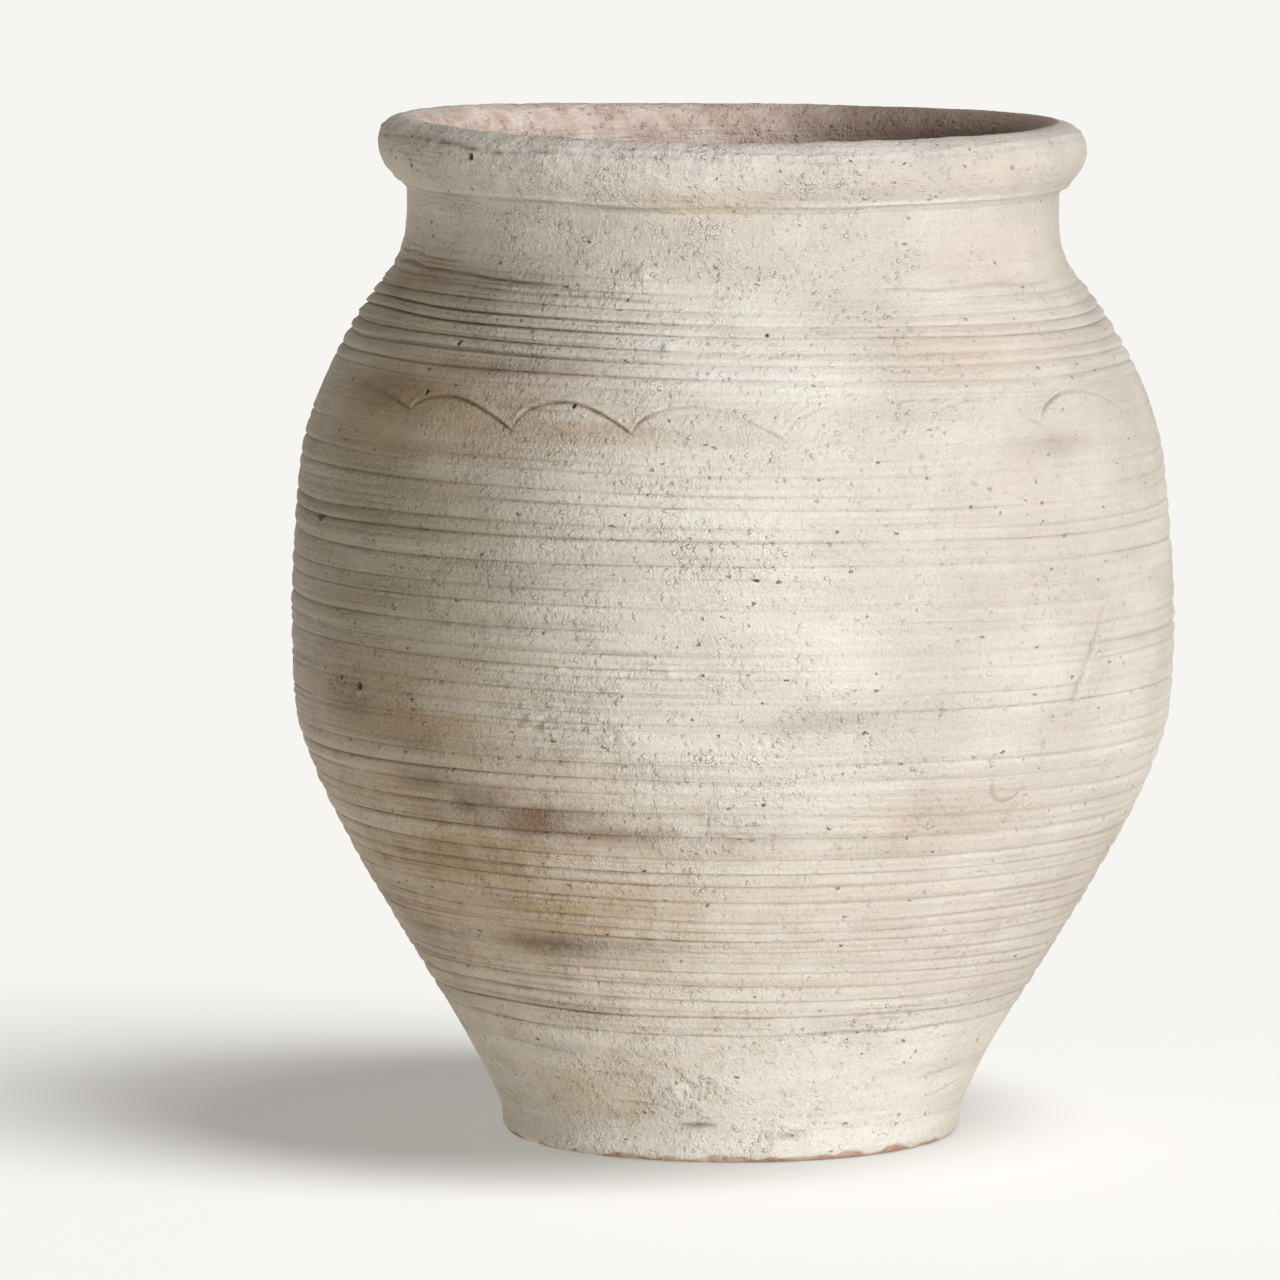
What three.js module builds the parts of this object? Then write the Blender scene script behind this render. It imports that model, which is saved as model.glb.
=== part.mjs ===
// A large hand-thrown clay jar: courses of clay stacked on a slab base, each keyed into the one
// below with a scored V and luted with slip, finished with a folded rim.
// Millimetres, +Z up. The origin is the centre of the base, on the surface that the jar stands on.
import * as THREE from 'three';

// Turning
const FACETS = 40; // flat strips round each turned piece
const ARC_STEPS = 6; // profile points round a quarter curve

// Slab base and the coil pressed into the corner above it
const SLAB_THICKNESS = 14;
const SLAB_INSET = 1.5; // the slab's side stands in from the foot seam by this
const SLAB_EDGE_ROUND = 4;
const COIL_RISE = 14; // up the wall from the floor
const COIL_REACH = 15; // in from the wall along the floor
const COIL_LIP = 2.5; // thickness left where the coil feathers out

// Wall and joints
const WALL = 13; // thickness, measured level
const SLIP_LAYER = 0.35; // luting slip between two pieces
const KEY_DEPTH = 4; // scored V in the top of a course, and the tongue above that fills it
const SEAM_GROOVE = 0.9; // each course is pared back this much at its seams

// Surface of the wall
const RIDGE_PITCH = 8; // throwing ridges left by the fingers
const RIDGE_DEPTH = 1;
const SMOOTH_STEP = 9; // spacing of the profile points where the wall is smoothed
const INSIDE_STEP = 26; // spacing of the profile points down the inside

// Rise of each course, from the seam below it to the seam above
const FOOT_RISE = 46;
const LOWER_RISE = 126;
const BELLY_RISE = 114;
const SHOULDER_RISE = 78;
const NECK_RISE = 41;
const RIM_RISE = 31;

// The smooth band on the shoulder that carries the incised garland
const GARLAND_START = 16; // above the shoulder's lower seam
const GARLAND_BAND = 29;

// Outer radius at each seam, from the slab up
const FOOT_SEAM = 103.5;
const LOWER_SEAM = 127.7;
const BELLY_SEAM = 193.7;
const SHOULDER_SEAM = 191.5;
const NECK_SEAM = 155.7;
const RIM_SEAM = 144.4;

// Lean of the wall at the foot and the head of each course, in degrees out from upright
const FOOT_LEANS = [21, 31];
const LOWER_LEANS = [31, 15];
const BELLY_LEANS = [7, -7];
const SHOULDER_LEANS = [-8, -36];
const NECK_LEANS = [-43, 0];

// Rolled rim
const RIM_OVERHANG = 12.4; // widest line of the roll, out from the neck
const RIM_CROWN = 12; // height of the rounded top above the widest line
const CREST_SETBACK = 12; // crest of the roll, in from the widest line
const RIM_UNDERSIDE_LEANS = [50, 0];

// Slip and clay colours
const LIME_SLIP = 0xded3c2;
const WORN_SLIP = 0xcfbfa9;
const BARE_CLAY = 0xb98e73;

function fired(color, roughness) {
  return new THREE.MeshStandardMaterial({ color, roughness, metalness: 0 });
}

// Turns a profile of radius and height about the jar's axis and stands it at its seam.
function turned(name, profile, seamHeight, material) {
  const mesh = new THREE.Mesh(new THREE.LatheGeometry(profile, FACETS), material);
  mesh.name = name;
  mesh.rotation.x = Math.PI / 2;
  mesh.position.z = seamHeight;
  return mesh;
}

// A ring's profile, which ends where it starts.
function closedRing(profile) {
  return [...profile, profile[0].clone()];
}

// The three radii of a keyed joint, shared by the groove below the seam and the tongue above it.
function jointAt(seamRadius) {
  const outer = seamRadius - SEAM_GROOVE;
  const inner = seamRadius - WALL;
  return { outer, inner, middle: (outer + inner) / 2 };
}

// The point of the V below a joint's face, for groove and tongue alike.
function keyPoint(joint, faceHeight) {
  return new THREE.Vector2(joint.middle, faceHeight - KEY_DEPTH);
}

// A line between two points of radius and height, which leans as given at each end.
function leaningLine(lower, upper, leans) {
  const third = (upper.y - lower.y) / 3;
  const [lowerRun, upperRun] = leans.map((lean) => third * Math.tan(THREE.MathUtils.degToRad(lean)));
  const lowerHandle = new THREE.Vector2(lower.x + lowerRun, lower.y + third);
  const upperHandle = new THREE.Vector2(upper.x - upperRun, upper.y - third);
  return new THREE.CubicBezierCurve(lower, lowerHandle, upperHandle, upper);
}

// The outside of a course, from the slip on its lower seam at height 0 to its upper seam.
function courseLine({ rise, seams, leans }) {
  const lower = new THREE.Vector2(seams[0], SLIP_LAYER);
  const upper = new THREE.Vector2(seams[1], rise);
  return leaningLine(lower, upper, leans);
}

// Steps up one stretch of wall: each is a height above the start of the stretch and a depth of cut.
function ridgedSteps(rise) {
  const halves = 2 * Math.max(1, Math.round(rise / RIDGE_PITCH));
  return Array.from({ length: halves + 1 }, (_, i) => ({
    height: (rise * i) / halves,
    cut: i % 2 ? 0 : RIDGE_DEPTH,
  }));
}

function smoothSteps(rise) {
  const chamfer = Math.min(RIDGE_PITCH, rise) / 2;
  const face = rise - 2 * chamfer;
  const count = Math.max(1, Math.round(face / SMOOTH_STEP));
  const onFace = Array.from({ length: count + 1 }, (_, i) => ({
    height: chamfer + (face * i) / count,
    cut: 0,
  }));
  return [{ height: 0, cut: SEAM_GROOVE }, ...onFace, { height: rise, cut: SEAM_GROOVE }];
}

// The steps of a whole course: its stretches in order, pared back to the joint at both seams.
function courseSteps(stretches) {
  const steps = [];
  let start = 0;
  for (const { rise, stepsOf } of stretches) {
    steps.pop();
    for (const { height, cut } of stepsOf(rise)) {
      steps.push({ height: start + height, cut });
    }
    start += rise;
  }
  steps[0].cut = SEAM_GROOVE;
  steps[steps.length - 1].cut = SEAM_GROOVE;
  return steps;
}

// The inner face of a course, from the foot up.
function insideWall(course) {
  const steps = Math.max(2, Math.round((course.rise - SLIP_LAYER) / INSIDE_STEP));
  const points = courseLine(course).getPoints(steps);
  return points.map((point) => new THREE.Vector2(point.x - WALL, point.y));
}

// One course of the wall: ridged or smooth outside, plain inside, tongue below and groove on top.
function courseProfile(course) {
  const { rise, seams, stretches } = course;
  const clayRise = rise - SLIP_LAYER;
  const line = courseLine(course);
  const outside = courseSteps(stretches(clayRise)).map(({ height, cut }) => {
    const point = line.getPoint(height / clayRise);
    return new THREE.Vector2(point.x - cut, point.y);
  });
  return closedRing([
    ...outside,
    keyPoint(jointAt(seams[1]), rise),
    ...insideWall(course).reverse(),
    keyPoint(jointAt(seams[0]), SLIP_LAYER),
  ]);
}

function slabProfile() {
  const joint = jointAt(FOOT_SEAM);
  const edgeCentre = FOOT_SEAM - SLAB_INSET - SLAB_EDGE_ROUND;
  const edge = new THREE.EllipseCurve(
    edgeCentre,
    SLAB_EDGE_ROUND,
    SLAB_EDGE_ROUND,
    SLAB_EDGE_ROUND,
    -Math.PI / 2,
    0,
  );
  return [
    new THREE.Vector2(0, 0),
    ...edge.getPoints(ARC_STEPS),
    new THREE.Vector2(joint.outer, SLAB_THICKNESS),
    keyPoint(joint, SLAB_THICKNESS),
    new THREE.Vector2(joint.inner, SLAB_THICKNESS),
    new THREE.Vector2(0, SLAB_THICKNESS),
  ];
}

// The coil fills the corner between the floor and the foot, thumbed to a hollow curve.
function coilProfile(foot) {
  const wall = insideWall(foot).map((point) => new THREE.Vector2(point.x - SLIP_LAYER, point.y));
  const top = SLIP_LAYER + COIL_RISE;
  const next = wall.findIndex((point) => point.y > top);
  const share = (top - wall[next - 1].y) / (wall[next].y - wall[next - 1].y);
  const head = wall[next - 1].clone().lerp(wall[next], share);
  const toe = new THREE.Vector2(wall[0].x - COIL_REACH, wall[0].y);
  const hollowWidth = head.x - COIL_LIP - toe.x;
  const hollowDepth = COIL_RISE - COIL_LIP;
  const hollow = new THREE.EllipseCurve(toe.x, head.y, hollowWidth, hollowDepth, 0, -Math.PI / 2, true);
  return closedRing([...wall.slice(0, next), head, ...hollow.getPoints(ARC_STEPS), toe]);
}

// The rim is folded outwards into a roll over the neck.
function rimProfile() {
  const joint = jointAt(RIM_SEAM);
  const widest = new THREE.Vector2(RIM_SEAM + RIM_OVERHANG, RIM_RISE - RIM_CROWN);
  const spring = new THREE.Vector2(joint.outer, SLIP_LAYER);
  const underside = leaningLine(spring, widest, RIM_UNDERSIDE_LEANS);
  const crest = widest.x - CREST_SETBACK;
  const lipWidth = crest - joint.inner;
  const quarter = Math.PI / 2;
  const crownOut = new THREE.EllipseCurve(crest, widest.y, CREST_SETBACK, RIM_CROWN, 0, quarter);
  const crownIn = new THREE.EllipseCurve(crest, widest.y, lipWidth, RIM_CROWN, quarter, Math.PI);
  return closedRing([
    ...underside.getPoints(ARC_STEPS),
    ...crownOut.getPoints(ARC_STEPS).slice(1),
    ...crownIn.getPoints(ARC_STEPS).slice(1),
    new THREE.Vector2(joint.inner, SLIP_LAYER),
    keyPoint(joint, SLIP_LAYER),
  ]);
}

// Stretches of wall, for the list of courses
function ridged(rise) {
  return { rise, stepsOf: ridgedSteps };
}

function smooth(rise) {
  return { rise, stepsOf: smoothSteps };
}

// The courses of the wall, from the foot up
const foot = {
  name: 'foot_band',
  rise: FOOT_RISE,
  seams: [FOOT_SEAM, LOWER_SEAM],
  leans: FOOT_LEANS,
  stretches: (clayRise) => [smooth(clayRise)],
  material: fired(WORN_SLIP, 0.9),
};

const lower = {
  name: 'lower_wall',
  rise: LOWER_RISE,
  seams: [LOWER_SEAM, BELLY_SEAM],
  leans: LOWER_LEANS,
  stretches: (clayRise) => [ridged(clayRise)],
  material: fired(LIME_SLIP, 0.92),
};

const belly = {
  name: 'belly_wall',
  rise: BELLY_RISE,
  seams: [BELLY_SEAM, SHOULDER_SEAM],
  leans: BELLY_LEANS,
  stretches: (clayRise) => [ridged(clayRise)],
  material: fired(LIME_SLIP, 0.92),
};

const shoulder = {
  name: 'shoulder_wall',
  rise: SHOULDER_RISE,
  seams: [SHOULDER_SEAM, NECK_SEAM],
  leans: SHOULDER_LEANS,
  stretches: (clayRise) => [
    ridged(GARLAND_START),
    smooth(GARLAND_BAND),
    ridged(clayRise - GARLAND_START - GARLAND_BAND),
  ],
  material: fired(LIME_SLIP, 0.92),
};

const neck = {
  name: 'neck_collar',
  rise: NECK_RISE,
  seams: [NECK_SEAM, RIM_SEAM],
  leans: NECK_LEANS,
  stretches: (clayRise) => [smooth(clayRise)],
  material: fired(LIME_SLIP, 0.88),
};

// The jar, stacked from the slab
const jar = new THREE.Group();
jar.add(turned('base_slab', slabProfile(), 0, fired(WORN_SLIP, 0.92)));
jar.add(turned('floor_coil', coilProfile(foot), SLAB_THICKNESS, fired(BARE_CLAY, 0.95)));

let seamHeight = SLAB_THICKNESS;
for (const course of [foot, lower, belly, shoulder, neck]) {
  jar.add(turned(course.name, courseProfile(course), seamHeight, course.material));
  seamHeight += course.rise;
}
jar.add(turned('rim_roll', rimProfile(), seamHeight, fired(LIME_SLIP, 0.86)));

export default jar;
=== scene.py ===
# A large hand-thrown clay jar under a pale, sandy lime slip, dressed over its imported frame.
# The potter's measures are millimetres and degrees; Blender's are metres and radians.
# Angles round the jar start at the side that faces the camera and grow to the right.
import math
from types import SimpleNamespace

import bmesh
import bpy
import numpy as np
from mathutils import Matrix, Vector


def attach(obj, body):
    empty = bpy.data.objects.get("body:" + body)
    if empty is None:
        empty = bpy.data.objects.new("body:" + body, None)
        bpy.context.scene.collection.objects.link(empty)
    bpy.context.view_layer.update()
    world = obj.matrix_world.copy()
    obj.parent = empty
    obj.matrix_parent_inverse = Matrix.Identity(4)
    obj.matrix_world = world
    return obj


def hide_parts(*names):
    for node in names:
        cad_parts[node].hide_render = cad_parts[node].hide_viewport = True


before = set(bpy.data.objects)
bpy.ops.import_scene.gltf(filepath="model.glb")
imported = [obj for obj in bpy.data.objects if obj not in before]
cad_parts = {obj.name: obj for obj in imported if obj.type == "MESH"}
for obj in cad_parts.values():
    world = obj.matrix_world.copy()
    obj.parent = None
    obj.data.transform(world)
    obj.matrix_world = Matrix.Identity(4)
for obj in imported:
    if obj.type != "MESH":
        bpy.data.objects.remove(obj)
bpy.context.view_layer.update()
scene = bpy.context.scene
scene.view_settings.view_transform = "Standard"

MM = 0.001
TURN = 2 * math.pi

# Turning: a coarse spin, then each ring edge is cut into finer steps
SPIN_STEPS = 40
RING_CUTS = 11

# Head seam of each course, from the slab up: outer radius and height
SLAB_HEAD = (103.5, 14.0)
FOOT_HEAD = (127.7, 60.0)
LOWER_HEAD = (193.7, 186.0)
BELLY_HEAD = (191.5, 300.0)
SHOULDER_HEAD = (155.7, 378.0)
NECK_HEAD = (144.4, 419.0)
WALL = 13.0
KEY_DEPTH = 4.0
SLAB_EDGE = 4.0
SLAB_SIDE = 102.0
SLAB_LEANS = (0, 21)
FOOT_LEANS = (21, 31)
COIL_RISE = 14.0
COIL_REACH = 15.0
RIM_WIDEST = (156.8, 438.0)
RIM_CREST = (144.8, 450.0)
RIM_INNER = 131.4

# Throwing ridges: pitch, depth and sharpness at a few heights up the wall
RIDGE_HEIGHTS = (0, 56, 61, 66, 120, 170, 190, 240, 296, 312, 319, 342, 349, 372, 384, 390, 470)
RIDGE_PITCHES = (7, 7, 7, 6.4, 6.8, 7.2, 8.2, 8.6, 8.2, 7.6, 7.2, 6.6, 5.6, 5.6, 6, 7, 7)
RIDGE_DEPTHS = (0.0, 0.05, 1.2, 2.0, 2.1, 1.9, 1.5, 1.3, 1.6, 1.5, 0.25, 0.3, 2.8, 2.8, 1.2, 0.35, 0.0)
RIDGE_SHARP = (0.5, 0.5, 0.7, 0.7, 0.7, 0.6, 0.5, 0.4, 0.4, 0.4, 0.4, 0.4, 0.2, 0.15, 0.3, 0.5, 0.5)
GROOVE_ROWS = (-1.0, -0.5, 0.0, 0.5, 1.0)

# Garland: angle and height of each cusp that shows, then even scallops round the back
GARLAND_CUSPS = (
    (-74.8, 331),
    (-49.3, 331),
    (-30.6, 326),
    (-13.3, 326),
    (6.9, 324),
    (26.5, 325),
    (46, 326),
    (67.5, 327),
)
GARLAND_CROWN = 338.5
GARLAND_MIDDLE = 332.0
CROWN_SHARE = 0.4

# Drag marks, pits, the slip drip's head and foot, and the pressed pellet with its radius
STROKE_COUNT = 220
PIT_DEPTH = 1.5
DRIP_HEAD = (56.2, 248.0)
DRIP_FOOT = (48.4, 203.0)
PELLET = (38.7, 174.6, 9.0)

# Faces of a profile, and what each turned point carries until it is shaped
OUTSIDE, HIDDEN, INSIDE = 1, 0, -1
LAYERS = ("radius", "height", "face", "out_r", "out_z")


def smooth_step(low, high, value):
    share = np.clip((value - low) / (high - low), 0, 1)
    return share * share * (3 - 2 * share)


def hill(offset, spread):
    """A smooth hill: 1 where the offset is nothing, fading over the spread."""
    return np.exp(-((offset / spread) ** 2))


def turned_away(angle, middle):
    """How far an angle lies from a middle angle, in degrees, the short way round."""
    return (np.degrees(angle) - middle + 180) % 360 - 180


def patchy(seed, angle, height, cells_round, cell_height):
    """Smooth seeded noise from -1 to 1 that closes up round the jar."""
    rows = int(560 / cell_height) + 3
    table = np.random.default_rng(seed).uniform(-1, 1, (cells_round, rows))
    across = (angle / TURN) % 1 * cells_round
    up = np.clip((height + 40) / cell_height, 0, rows - 2)
    left = np.floor(across).astype(int)
    low = np.floor(up).astype(int)
    along = across - left
    along = along * along * (3 - 2 * along)
    rise = up - low
    rise = rise * rise * (3 - 2 * rise)
    left = left % cells_round
    right = (left + 1) % cells_round
    below = table[left, low] * (1 - along) + table[right, low] * along
    above = table[left, low + 1] * (1 - along) + table[right, low + 1] * along
    return below * (1 - rise) + above * rise


class Place:
    """Points of the jar's surface: angle round it, height up it and distance from its axis."""

    def __init__(self, angle, height, radius=None):
        self.angle = angle
        self.height = height
        self.radius = radius

    def away(self, middle):
        """How far round from a middle angle, in degrees."""
        return turned_away(self.angle, middle)

    def across(self, middle):
        """How far round from a middle angle, in millimetres."""
        return np.radians(self.away(middle)) * self.radius

    def facing(self, middle, spread):
        """1 on the side that faces the middle angle, fading over the spread."""
        return hill(self.away(middle), spread)

    def rises(self, low, high):
        """0 at the first height and beyond, growing to 1 at the second."""
        return smooth_step(low, high, self.height)

    def patchy(self, *layers):
        """A sum of noises, each with its strength, seed, cells round the jar and cell height."""
        places = (self.angle, self.height)
        return sum(strength * patchy(seed, *places, *cells) for strength, seed, *cells in layers)

    def patchy_round(self, seed, cells_round):
        """Noise that is alike at every height."""
        return patchy(seed, self.angle, 0 * self.angle, cells_round, 50)

    def patchy_up(self, seed, cell_height):
        """Noise that is alike all round the jar."""
        return patchy(seed, 0 * self.angle, self.height, 1, cell_height)

    def spot(self, middle, level, half_width, half_height):
        """A soft round patch, 1 in its middle."""
        up = (self.height - level) / half_height
        return np.exp(-((self.across(middle) / half_width) ** 2 + up**2))

    def patches(self, patches):
        """The strongest of many soft patches at each point."""
        mask = np.zeros_like(self.height)
        for *patch, strength in patches:
            mask = np.maximum(mask, strength * self.spot(*patch))
        return mask


def ring_heights(seed, share):
    """Heights of the grooves between the ridges, unevenly spaced by hand."""
    draw = np.random.default_rng(seed)
    level = 60.5
    found = [-30.0, level]
    while level < 392:
        pitch = share * float(np.interp(level, RIDGE_HEIGHTS, RIDGE_PITCHES))
        level += pitch * draw.uniform(0.68, 1.32)
        found.append(level)
    return np.array(found + [500.0])


RINGS = ring_heights(5, 1.0)
FINE_RINGS = ring_heights(6, 0.46)


def row_heights(low, high, plain_step):
    """Heights of a course's rows: close together at each groove, wider on the ridge between."""
    levels = [low, high]
    for ring in RINGS:
        levels += [ring + offset for offset in GROOVE_ROWS if low + 0.3 < ring + offset < high - 0.3]
    levels = sorted(levels)
    rows = [low]
    for level in levels[1:]:
        gap = level - rows[-1]
        if gap < 0.28 and level < high:
            continue
        extra = int(gap / plain_step)
        start = rows[-1]
        rows += [start + gap * i / (extra + 1) for i in range(1, extra + 1)]
        rows.append(level)
    return rows


def leaning_line(low, high, leans, heights):
    """Points of radius and height from low to high, leaning as given at each end."""
    third = (high[1] - low[1]) / 3
    first = low[0] + third * math.tan(math.radians(leans[0]))
    second = high[0] - third * math.tan(math.radians(leans[1]))
    points = []
    for height in heights:
        t = (height - low[1]) / (high[1] - low[1])
        back = 1 - t
        radius = back**3 * low[0] + 3 * back**2 * t * first + 3 * back * t**2 * second + t**3 * high[0]
        points.append((radius, height))
    return points


def even_heights(low, high, count):
    return [low + (high - low) * i / count for i in range(count + 1)]


def quarter_round(centre, half_width, half_height, start, end, count):
    points = []
    for step in range(count + 1):
        turn = math.radians(start + (end - start) * step / count)
        across = half_width * math.cos(turn)
        up = half_height * math.sin(turn)
        points.append((centre[0] + across, centre[1] + up))
    return points


def on_face(points, face):
    return [(radius, height, face) for radius, height in points]


def course_profile(low, high, leans, plain_step, inner_rows):
    """A course of the wall: outside, groove on top, inside, and tongue below."""
    outer = leaning_line(low, high, leans, row_heights(low[1], high[1], plain_step))
    inner = leaning_line(low, high, leans, even_heights(low[1], high[1], inner_rows))
    inner = [(radius - WALL, height) for radius, height in inner]
    key_top = (high[0] - WALL / 2, high[1] - KEY_DEPTH)
    key_foot = (low[0] - WALL / 2, low[1] - KEY_DEPTH)
    return (
        on_face(outer, OUTSIDE)
        + on_face([key_top], HIDDEN)
        + on_face(inner[::-1], INSIDE)
        + on_face([key_foot], HIDDEN)
    )


# Courses of the wall: node, foot seam, head seam, leans at both, row spacing, inside rows
COURSES = (
    ("foot_band", SLAB_HEAD, FOOT_HEAD, FOOT_LEANS, 0.85, 8),
    ("lower_wall", FOOT_HEAD, LOWER_HEAD, (31, 15), 0.95, 10),
    ("belly_wall", LOWER_HEAD, BELLY_HEAD, (7, -7), 0.85, 10),
    ("shoulder_wall", BELLY_HEAD, SHOULDER_HEAD, (-8, -36), 0.78, 10),
    ("neck_collar", SHOULDER_HEAD, NECK_HEAD, (-43, 0), 0.8, 20),
)


def wall_outline():
    """Outer radius of the whole wall against height, from the slab to the rim's crease."""
    rows = even_heights(SLAB_EDGE, SLAB_HEAD[1], 4)
    points = leaning_line((SLAB_SIDE, SLAB_EDGE), SLAB_HEAD, SLAB_LEANS, rows)
    for _, low, high, leans, _, _ in COURSES:
        points += leaning_line(low, high, leans, even_heights(low[1], high[1], 40))[1:]
    return np.array(points)


OUTLINE = wall_outline()


def outline_radius(height):
    return np.interp(height, OUTLINE[:, 1], OUTLINE[:, 0])


def rim_profile():
    """The rim: underside, crown, inner lip and inside, with its tongue in the neck."""
    rows = even_heights(NECK_HEAD[1], RIM_WIDEST[1], 26)
    underside = leaning_line(NECK_HEAD, RIM_WIDEST, (50, 0), rows)
    centre = (RIM_CREST[0], RIM_WIDEST[1])
    crown = RIM_CREST[1] - RIM_WIDEST[1]
    outer = quarter_round(centre, RIM_WIDEST[0] - RIM_CREST[0], crown, 0, 90, 24)
    inner = quarter_round(centre, RIM_CREST[0] - RIM_INNER, crown, 90, 180, 22)
    inside = [(RIM_INNER, height) for height in even_heights(RIM_WIDEST[1], NECK_HEAD[1], 14)]
    key = (NECK_HEAD[0] - WALL / 2, NECK_HEAD[1] - KEY_DEPTH)
    return (
        on_face(underside, OUTSIDE)
        + on_face(outer[1:], OUTSIDE)
        + on_face(inner[1:], INSIDE)
        + on_face(inside[1:], INSIDE)
        + on_face([key], HIDDEN)
    )


def slab_profile():
    """The slab: underside, rounded edge, side, groove for the foot, and floor."""
    edge = quarter_round((SLAB_SIDE - SLAB_EDGE, SLAB_EDGE), SLAB_EDGE, SLAB_EDGE, -90, 0, 8)
    rows = even_heights(SLAB_EDGE, SLAB_HEAD[1], 12)
    side = leaning_line((SLAB_SIDE, SLAB_EDGE), SLAB_HEAD, SLAB_LEANS, rows)
    under = [(edge[0][0] * i / 10, 0.0) for i in range(10)]
    inner = SLAB_HEAD[0] - WALL
    key = (SLAB_HEAD[0] - WALL / 2, SLAB_HEAD[1] - KEY_DEPTH)
    floor = [(inner * (1 - i / 12), SLAB_HEAD[1]) for i in range(13)]
    return (
        on_face(under, HIDDEN)
        + on_face(edge + side[1:], OUTSIDE)
        + on_face([key], HIDDEN)
        + on_face(floor, INSIDE)
    )


def coil_profile():
    """The coil in the corner: against the wall, hollow on its face, flat on the slab."""
    base = SLAB_HEAD[1]
    wall = leaning_line(SLAB_HEAD, FOOT_HEAD, FOOT_LEANS, even_heights(base, base + COIL_RISE, 14))
    wall = [(radius - WALL, height) for radius, height in wall]
    head = wall[-1]
    toe = wall[0][0] - COIL_REACH
    hollow = quarter_round((toe, head[1]), head[0] - 2.5 - toe, COIL_RISE - 2.5, 0, -90, 16)
    return on_face(wall, HIDDEN) + on_face(hollow, INSIDE) + on_face([(toe, base)], HIDDEN)


def wandering(at):
    """How far the rings stray up and down round the jar: down to the right, and by hand."""
    stray = at.patchy((1.5, 11, 6, 26), (0.7, 12, 15, 12)) - 2.2 * np.sin(at.angle)
    return stray * at.rises(8, 60) * at.rises(418, 385)


def between_rings(level, rings):
    """Share of the way up from one groove to the next, and the distance to the nearer of them."""
    ring = np.clip(np.searchsorted(rings, level, side="right") - 1, 0, len(rings) - 2)
    below, above = rings[ring], rings[ring + 1]
    return (level - below) / (above - below), np.minimum(level - below, above - level)


def ridges(at):
    """The fingers' ridges: how far a point stands out, the dirt and painted shade in its groove, and
    the pale lime and painted highlight on its crest.
    """
    share, nearest = between_rings(at.height, RINGS)
    even = at.rises(335, 350)
    strength = 0.62 + at.patchy((0.62, 13, 6, 8), (0.34, 14, 17, 9))
    strength = np.clip(strength * (1 - even) + (0.35 * strength + 0.6) * even, 0.05, 1.3)
    strength *= 1 - 0.35 * at.facing(40, 40)
    strength *= 1 - 0.5 * even * at.facing(9, 17)
    smoothed = at.rises(140, 180) * at.rises(275, 245)
    strength *= 1 - 0.55 * smoothed * at.facing(3, 17)
    full_depth = np.interp(at.height, RIDGE_HEIGHTS, RIDGE_DEPTHS)
    depth = full_depth * strength
    sharp = np.interp(at.height, RIDGE_HEIGHTS, RIDGE_SHARP)
    sharp = np.clip(sharp + at.patchy((0.35, 15, 11, 12)), 0, 1)
    saw = (1 - share) * smooth_step(-0.03, 0.16, share)
    arch = 4 * share * (1 - share)
    cut = hill(nearest, 0.5)
    stand = depth * (sharp * saw + (1 - sharp) * (arch - 0.15) - 0.5 - (0.15 + 0.35 * sharp) * cut)

    fine_share, fine_nearest = between_rings(at.height, FINE_RINGS)
    fine = 0.36 * np.clip(0.35 + at.patchy((0.8, 16, 13, 7)), 0, 1) * full_depth
    stand += fine * (0.6 * 4 * fine_share * (1 - fine_share) + 0.6 * (1 - fine_share) - 0.7)
    fine_cut = 0.9 * hill(fine_nearest, 0.45)
    groove = np.maximum(cut * np.clip(1.3 * depth, 0, 1), fine_cut * np.clip(2.5 * fine, 0, 1))
    # Pale lime and painted highlight on each ridge top, brightest just under the groove above
    crest_lime_and_highlight = hill(share - 0.82, 0.13) + 0.6 * hill(share - 0.36, 0.2)
    crest_lime_and_highlight *= np.clip(depth, 0, 1) * np.clip(0.55 + at.patchy((0.6, 19, 40, 5)), 0, 1)
    return stand, groove * dirt_and_shade_share(at), crest_lime_and_highlight


def dirt_and_shade_share(at):
    """How dark the grooves are made with dirt and painted shade: most on the shaded left side, the
    lower wall and the back, least on the right.
    """
    low = 0.25 * at.rises(180, 110)
    back = 0.6 * smooth_step(95, 130, np.abs(at.away(0)))
    patch = at.patchy((0.35, 17, 24, 9), (0.3, 18, 60, 6))
    return np.clip((0.12 + 0.75 * at.facing(-48, 42) + low + back) * (0.85 + patch), 0.04, 1)


def strokes(at):
    """Drag marks of grit under the fingers, which start and fade out along the ridges, with dirt and
    painted shade in their grooves.
    """
    draw = np.random.default_rng(21)
    stand = np.zeros_like(at.height)
    groove = np.zeros_like(at.height)
    for _ in range(STROKE_COUNT):
        ring = draw.integers(1, len(RINGS) - 2)
        start = RINGS[ring] + draw.uniform(1.8, 4.5)
        middle = draw.uniform(-180, 180)
        half = draw.uniform(4, 30)
        depth = draw.uniform(0.15, 0.6)
        rows = np.abs(at.height - start) < 4
        if not rows.any():
            continue
        off = at.height[rows] - start
        fade = depth * np.clip(1 - (turned_away(at.angle[rows], middle) / half) ** 2, 0, 1)
        cut = fade * hill(off, 0.7)
        stand[rows] += 0.4 * fade * hill(off - 1.4, 0.9) - cut
        groove[rows] = np.maximum(groove[rows], 1.2 * cut)
    return stand, groove * dirt_and_shade_share(at)


def all_cusps():
    """The cusps that show, then even ones round the back to the first again."""
    cusps = list(GARLAND_CUSPS)
    gap = 360 - (cusps[-1][0] - cusps[0][0])
    extra = round(gap / 20)
    cusps += [(cusps[-1][0] + gap * i / extra, 326.0 + i % 2) for i in range(1, extra)]
    cusps.append((cusps[0][0] + 360, cusps[0][1]))
    return cusps


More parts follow.
